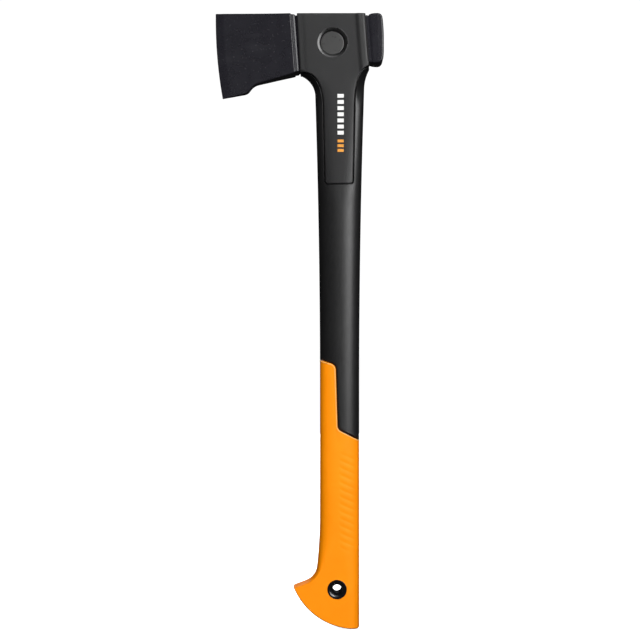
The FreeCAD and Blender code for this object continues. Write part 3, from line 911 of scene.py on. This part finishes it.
def gathered(z, groove, edges):
    """One row of columns that follow the groove's edges at height z: shares and inset.

    groove is the share of its full depth that the groove has there.
    """
    edge_x = np.array([np.interp(z, edge[:, 1], edge[:, 0]) for edge in edges])
    left_u, right_u = np.clip(handle_share(edge_x, np.array([z, z])), -0.985, 0.985)
    left, right = handle_sides(np.array(z))
    reach = (right - left) / 2
    u_left = -np.cos(np.linspace(0, math.acos(-left_u), SIDE_COLUMNS + 1))
    u_right = np.cos(np.linspace(math.acos(right_u), 0, SIDE_COLUMNS + 1))
    in_left = left_u + WALL_X / reach
    in_right = right_u - WALL_X[::-1] / reach
    middle = np.linspace(in_left[-1], in_right[0], FLOOR_COLUMNS + 2)[1:-1]
    u = np.concatenate([u_left[:-1], in_left, middle, in_right, u_right[1:]])
    flat = np.zeros(SIDE_COLUMNS)
    inset = np.concatenate([flat, WALL_DEPTH, np.ones(len(middle)), WALL_DEPTH[::-1], flat])
    return u, inset * GROOVE_DEPTH * groove


def grooved_ring(z, groove, edges):
    """A ring of the shaft with the groove, and with steeper flanks close to the head."""
    u, inset = gathered(z, groove, edges)
    count = len(u)
    points = handle_point(u, np.full(count, z))
    depth = np.abs(points[:, 1])
    flank = float(smooth_step(np.array(z), 476.0, 512.0))
    last = count - SIDE_COLUMNS - 1
    for zone, edge in ((slice(0, SIDE_COLUMNS + 1), SIDE_COLUMNS), (slice(last, count), last)):
        out = np.abs((u[zone] - u[edge]) / (1 - abs(u[edge])))
        steep = depth[edge] * (1 - out ** 1.2)
        depth[zone] = depth[zone] * (1 - flank) + np.minimum(steep, depth[zone]) * flank
    points[:, 1] = -np.maximum(depth - inset, 0)
    points[[0, -1], 1] = 0
    return ring(points)


def groove_heights():
    """Heights of the grooved rings, each with the share of the groove's depth."""
    foot = TONGUE_FOOT - TONGUE_GAP
    wall = ((-1.2, 0), (-0.5, 0), (-0.3, 0.03), (-0.12, 0.18), (-0.02, 0.6), (0, 1))
    heights = [(foot + rise, groove) for rise, groove in wall]
    heights += [(foot + rise, 1) for rise in (0.15, 0.4, 0.8, 1.3, 2.0, 3.0, 4.2)]
    heights += [(z, 1) for z in np.arange(foot + 6, 478, 2.2)]
    return heights + [(z, 1) for z in np.linspace(479, 523, 50)]


def shaft():
    """The shaft, from its core inside the grip up to the collar."""
    plain = level_row(GATHER_START)
    profile = ((0, 1.6), (0, 0.6), (0.12, 0.25), (0.35, 0.07), (0.7, 0.0))
    rings = step_rings(even_shares(CORE_LEVEL), SHAFT_LOW[2], GRIP_WALL + 0.15, EDGE_GROOVE, profile)
    start = edge_row(1.1, EDGE_GROOVE)
    rings += blended_rows(start, plain, np.linspace(0, 1, 34) ** 1.3, 0.0, 3.0)
    edges = groove_edges()
    shares, _ = gathered(GATHER_END, 0.0, edges)
    gathered_row = (shares, np.full(len(shares), GATHER_END))
    rings += blended_rows(plain, gathered_row, np.linspace(0, 1, 60)[1:])
    rings += [grooved_ring(z, groove, edges) for z, groove in groove_heights()]
    shell = Shell()
    shell.tube(rings)
    shell.piece("shaft_tube", SHAFT_NYLON, "shaft_nylon", ["shaft"], 42)


# ---- grip ----
KNOB_HALF_THICKNESS = BUSHING_HIGH[1]
SOLE_CENTRE = (19.1, 27.0)
SOLE_RADIUS = 67.6
HOOK_CENTRE = (-38.9, 23.8)
HOOK_RADIUS = 19.2
HOOK_TIP = (GRIP_LOW[0], 1.4)
GRIP_CORE_END = 16.0  # where the grip's inside closes under the shaft's core


def on_circle(centre, radius, degrees):
    angle = math.radians(degrees)
    return (centre[0] + radius * math.cos(angle), centre[1] + radius * math.sin(angle))


def knob_outline():
    """The knob's outline from the palm side over the hook and along the sole to the far corner."""
    left = HANDLE_X - GRIP_HALF_WIDTH
    right = GRIP_HIGH[0]
    hook_start = on_circle(HOOK_CENTRE, HOOK_RADIUS, -10)
    hook_end = on_circle(HOOK_CENTRE, HOOK_RADIUS, -72)
    sole_start = on_circle(SOLE_CENTRE, SOLE_RADIUS, 203.5)
    sole_end = on_circle(SOLE_CENTRE, SOLE_RADIUS, 270)
    corner_start = (right - 2.2, sole_end[1] + 0.1)
    corner_end = (right, sole_end[1] + 2.3)
    return path(
        arc_points((left, KNOB_TOP), (left - 0.9, 45.0), hook_start, 80),
        arc_points(hook_start, on_circle(HOOK_CENTRE, HOOK_RADIUS, -42), hook_end, 60),
        segment(hook_end, HOOK_TIP, 30),
        segment(HOOK_TIP, sole_start, 6),
        arc_points(sole_start, on_circle(SOLE_CENTRE, SOLE_RADIUS, 235), sole_end, 160),
        segment(sole_end, corner_start, 4),
        arc_points(corner_start, (right - 0.65, sole_end[1] + 0.65), corner_end, 10),
    )


def knob_depth(x, z, outline):
    """Half thickness of the knob: rounded narrowly along the sole and broadly on the palm side."""
    to_edge, where = distance_to(outline, x, z)
    places = [0, 0.18, 0.30, 0.40, 0.47, 0.55, 1]
    width = np.interp(where, places, [GRIP_HALF_WIDTH, 13, 5, 1.5, 1.2, 1.8, 2.5])
    below = smooth_step(-z, -KNOB_TOP, 10)
    right_width = GRIP_HALF_WIDTH * (1 - below) + 12.5 * below
    power = SECTION_POWERS[0]
    left_part = oval(1 - np.clip(to_edge / width, 0, 1), power)
    right_part = oval(1 - np.clip((GRIP_HIGH[0] - x) / right_width, 0, 1), power)
    body = GRIP_HALF_THICKNESS * (1 - below) + KNOB_HALF_THICKNESS * below
    return body * left_part * right_part


def rib_depth(x, z):
    """Shallow slanted ribs on the palm side of the grip."""
    pitch, slant = 7.2, 0.45
    wave = 0.5 + 0.5 * np.cos(2 * math.pi * (z + slant * x) / pitch)
    across = smooth_step(x, 1.0, 6.0) * smooth_step(-x, -20.5, -15.0)
    along = smooth_step(z, 34.0, 44.0) * smooth_step(-z, -140.0, -128.0)
    return 0.3 * wave ** 2 * across * along


def sleeve_rings():
    """Rings of the grip from inside its top end, over the step edge and down to the knob."""
    level = level_row(GRIP_LEVEL)
    shares = level[0]
    profile = ((0, 1.6), (0, 0.5), (-0.10, 0.16), (-0.3, 0.02), (-0.6, 0.0))
    rings = step_rings(shares, GRIP_CORE_END, GRIP_WALL, 0.0, profile)
    rings += blended_rows(edge_row(-1.0), level, np.linspace(0, 1, 34) ** 1.3, 0.0, 3.0)
    for z in np.arange(GRIP_LEVEL - 1, KNOB_TOP + 0.5, -1.0):
        points = handle_point(shares, np.full(len(shares), z))
        points[:, 1] += rib_depth(points[:, 0], z) * (np.abs(shares) < 0.999)
        rings.append(ring(points))
    return rings


def knob_rings():
    """Rings of the knob, which turn from level at its top to upright at its far corner."""
    outline = knob_outline()
    shares = (even_shares(GRIP_LEVEL) + 1) / 2
    run = np.linspace(0, 1, 150)
    lefts = resample(outline, run)
    total = lengths(outline)[-1]
    marks = np.array([0, 50, 71, 82.5, total - 4, total]) / total
    rights = np.interp(run, marks, [KNOB_TOP, 26, 6, -12, -35.5, -38.4])
    x = lefts[:, :1] * (1 - shares) + GRIP_HIGH[0] * shares
    z = lefts[:, 1:] * (1 - shares) + rights[:, None] * shares
    y = knob_depth(x, z, outline) - rib_depth(x, z)
    y[:, [0, -1]] = 0
    points = np.stack([x, -np.maximum(y, 0), z], axis=2)
    return [ring(row) for row in points[:-1]]


def grip():
    """The soft sleeve with its stepped top edge and hooked knob."""
    shell = Shell()
    shell.tube(sleeve_rings() + knob_rings())
    piece = shell.piece("grip_sleeve", RUBBER, "soft_grip", ["grip"], 45)
    cut_round_hole(piece, (0, 0), BUSHING_HIGH[0])


def grip_lip():
    """The thin bead that runs along the grip's stepped edge, in rubber painted paler as a highlight."""
    profile = ((-0.10, 0.30), (-0.10, -0.05), (-0.32, -0.24), (-0.62, -0.30), (-0.92, -0.24),
               (-1.14, -0.05), (-1.14, 0.30))
    rows = [ring(handle_point(*edge_row(distance), inset)) for distance, inset in profile]
    shell = Shell()
    shell.grid(rows, wrap_rows=True, wrap_columns=True)
    shell.piece("grip_lip", HIGHLIGHT_RUBBER, "soft_grip", [], 60)


def hole_rim():
    """The soft bead that the grip leaves round the bushing."""
    radius = BUSHING_HIGH[0]
    face = KNOB_HALF_THICKNESS
    profile = [(radius - 0.05, face - 1.5), (radius - 0.05, face - 0.1), (radius + 0.35, face + 0.18),
               (radius + 1.0, face - 0.05), (radius + 1.3, face - 0.5), (radius + 0.8, face - 1.5)]
    shell = Shell()
    for side in (-1, 1):
        shell.lathe(eased(profile, 0.4, 4), (0, 0), side)
    shell.piece("grip_hole_rim", RUBBER, "soft_grip", [], 60)


def hang_hole_bushing():
    """The flared bushing of the hang hole."""
    radius = BUSHING_HIGH[0]
    face = BUSHING_HIGH[1] - 0.05
    throat, half_throat = 4.4, 7.9
    widening, deepening = radius - 0.75 - throat, face - 0.1 - half_throat
    turns = np.linspace(math.pi / 2, 0, 15)
    bell = [(throat + widening * (1 - math.cos(turn)), half_throat + deepening * math.sin(turn))
            for turn in turns]
    rim = [(radius - 0.03, 2.0), (radius - 0.03, face - 0.3), (radius - 0.35, face), bell[0]]
    front = [tuple(point) for point in eased(rim, 0.3, 4)] + bell[1:] + [(throat, 2.0)]
    profile = front + [(r, -y) for r, y in front[::-1]]
    shell = Shell()
    shell.lathe(profile, (0, 0), 1)
    shell.piece("hang_hole_liner", BUSHING_NYLON, "bushing_nylon", ["hang_hole_bushing"], 45)


# ---- printed marks ----
BAR_WIDTH = 6.2
BAR_SHARE = 0.62  # share of a bar's pitch that is printed
BAR_RAISE = 0.14


def bar_faces(low_x, high_x, bottom, top):
    """Outer and inner face of one printed bar on the tongue."""
    across = np.array([0, 0.15, 0.3, *np.linspace(0.8, 5.4, 6), 5.9, 6.05, BAR_WIDTH])
    across = across * (high_x - low_x) / BAR_WIDTH
    tall = top - bottom
    up = np.array([0, 0.12, 0.3, tall / 2, tall - 0.3, tall - 0.12, tall])
    x, z = np.meshgrid(low_x + across, bottom + up)
    edge = np.minimum(np.minimum(x - low_x, high_x - x), np.minimum(z - bottom, top - z))
    lift = BAR_RAISE * np.clip(edge / 0.12, 0, 1)
    surface = collar_face(x, z)
    return np.stack([x, -(surface + lift), z], axis=2), np.stack([x, -(surface - 0.25), z], axis=2)


def bars(name, low, high, count, material, slot, node):
    """A column of plain printed bars on both tongues."""
    pitch = (high[2] - low[2]) / (count - 1 + BAR_SHARE)
    shell = Shell()
    for index in range(count):
        top = high[2] - index * pitch
        outer, inner = bar_faces(low[0], high[0], top - BAR_SHARE * pitch, top)
        shell.mirrored(outer)
        shell.mirrored(inner)
        for row in (0, -1):
            shell.mirrored([outer[row], inner[row]])
            shell.mirrored([outer[:, row], inner[:, row]])
    shell.piece(name, material, slot, [node], 60)


# ---- stage ----
def floor():
    """A plain pale floor under the knob."""
    mesh = bpy.data.meshes.new("floor")
    reach, level = 12.0, cad_low[2] - 0.0004
    corners = [(x * reach, y * reach, level) for x, y in ((-1, -1), (1, -1), (1, 1), (-1, 1))]
    mesh.from_pydata(corners, [], [(0, 1, 2, 3)])
    plane = placed("floor", mesh)
    plane.visible_diffuse = False
    plane.visible_glossy = False
    paint = bpy.data.materials.new("pale_floor")
    paint.use_nodes = True
    inputs = paint.node_tree.nodes["Principled BSDF"].inputs
    inputs["Base Color"].default_value = (0.9, 0.9, 0.9, 1)
    inputs["Roughness"].default_value = 0.9
    inputs["Specular IOR Level"].default_value = 0.0
    inputs["Emission Color"].default_value = (1, 1, 1, 1)
    inputs["Emission Strength"].default_value = 1.0
    mesh.materials.append(paint)


def room():
    """An even white room to look at, which adds very little light."""
    world = bpy.data.worlds.new("white_room")
    bpy.context.scene.world = world
    world.use_nodes = True
    nodes, links = world.node_tree.nodes, world.node_tree.links
    seen = nodes["Background"]
    dim = nodes.new("ShaderNodeBackground")
    for background, strength in ((seen, 1.05), (dim, 0.012)):
        background.inputs["Color"].default_value = (1, 1, 1, 1)
        background.inputs["Strength"].default_value = strength
    rays = nodes.new("ShaderNodeLightPath")
    mix = nodes.new("ShaderNodeMixShader")
    links.new(rays.outputs["Is Camera Ray"], mix.inputs[0])
    links.new(dim.outputs[0], mix.inputs[1])
    links.new(seen.outputs[0], mix.inputs[2])
    links.new(mix.outputs[0], nodes["World Output"].inputs["Surface"])


def softbox(name, azimuth, elevation, distance, size, power, glossy=True, target=(-0.01, 0.0, 0.27)):
    """An area light that looks at the middle of the axe.  Azimuth 0 stands at the front."""
    light = bpy.data.lights.new(name, "AREA")
    light.shape = "RECTANGLE"
    light.size, light.size_y = size
    light.energy = power
    lamp = placed(name, light)
    a, e = math.radians(azimuth), math.radians(elevation)
    away = np.array([math.sin(a) * math.cos(e), -math.cos(a) * math.cos(e), math.sin(e)])
    lamp.location = tuple(np.array(target) + away * distance)
    lamp.rotation_mode = "QUATERNION"
    lamp.rotation_quaternion = Vector(-away).to_track_quat("-Z", "Y")
    lamp.visible_camera = False
    lamp.visible_glossy = glossy


def camera():
    """A level camera 1.5 m in front of the axe's flat side."""
    lens = bpy.data.cameras.new("camera")
    lens.lens = 84.375
    lens.sensor_width = 36.0
    lens.clip_end = 50
    stand = placed("camera", lens)
    stand.location = (-0.0169, -1.5, 0.2674)
    stand.rotation_euler = (math.pi / 2, 0, 0)
    bpy.context.scene.camera = stand
    bpy.context.scene.view_settings.view_transform = "Standard"
    bpy.context.scene.view_settings.look = "None"


camera()
floor()
room()
softbox("key", 33, 19, 1.9, (0.95, 1.45), 26)
softbox("front_fill", -5, 22, 2.4, (1.6, 1.6), 35, glossy=False)
softbox("knob_fill", -15, 25, 0.9, (0.5, 0.5), 2.2, glossy=False, target=(0.0, 0.0, 0.02))
softbox("top_front", 10, 50, 1.3, (0.7, 0.5), 1.5)
softbox("right_top", 88, 42, 1.6, (0.7, 0.7), 1.5)
softbox("back_fill", 180, 15, 2.4, (1.6, 2.2), 38, glossy=False)
softbox("back_sheen", 176, 32, 2.0, (0.9, 0.9), 9)

axe_head()
head_collar()
recess_rings()
lock_plug()
shaft()
grip()
grip_lip()
hole_rim()
hang_hole_bushing()
bars("white_bars", WHITE_LOW, WHITE_HIGH, 7, WHITE_PRINT, "white_print", "white_marks")
bars("orange_bars", ORANGE_LOW, ORANGE_HIGH, 3, ORANGE_PRINT, "orange_print", "orange_marks")

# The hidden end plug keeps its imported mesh.
end_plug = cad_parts["shaft_end_plug"]
end_plug.data.materials.clear()
end_plug.data.materials.append(SHAFT_NYLON)
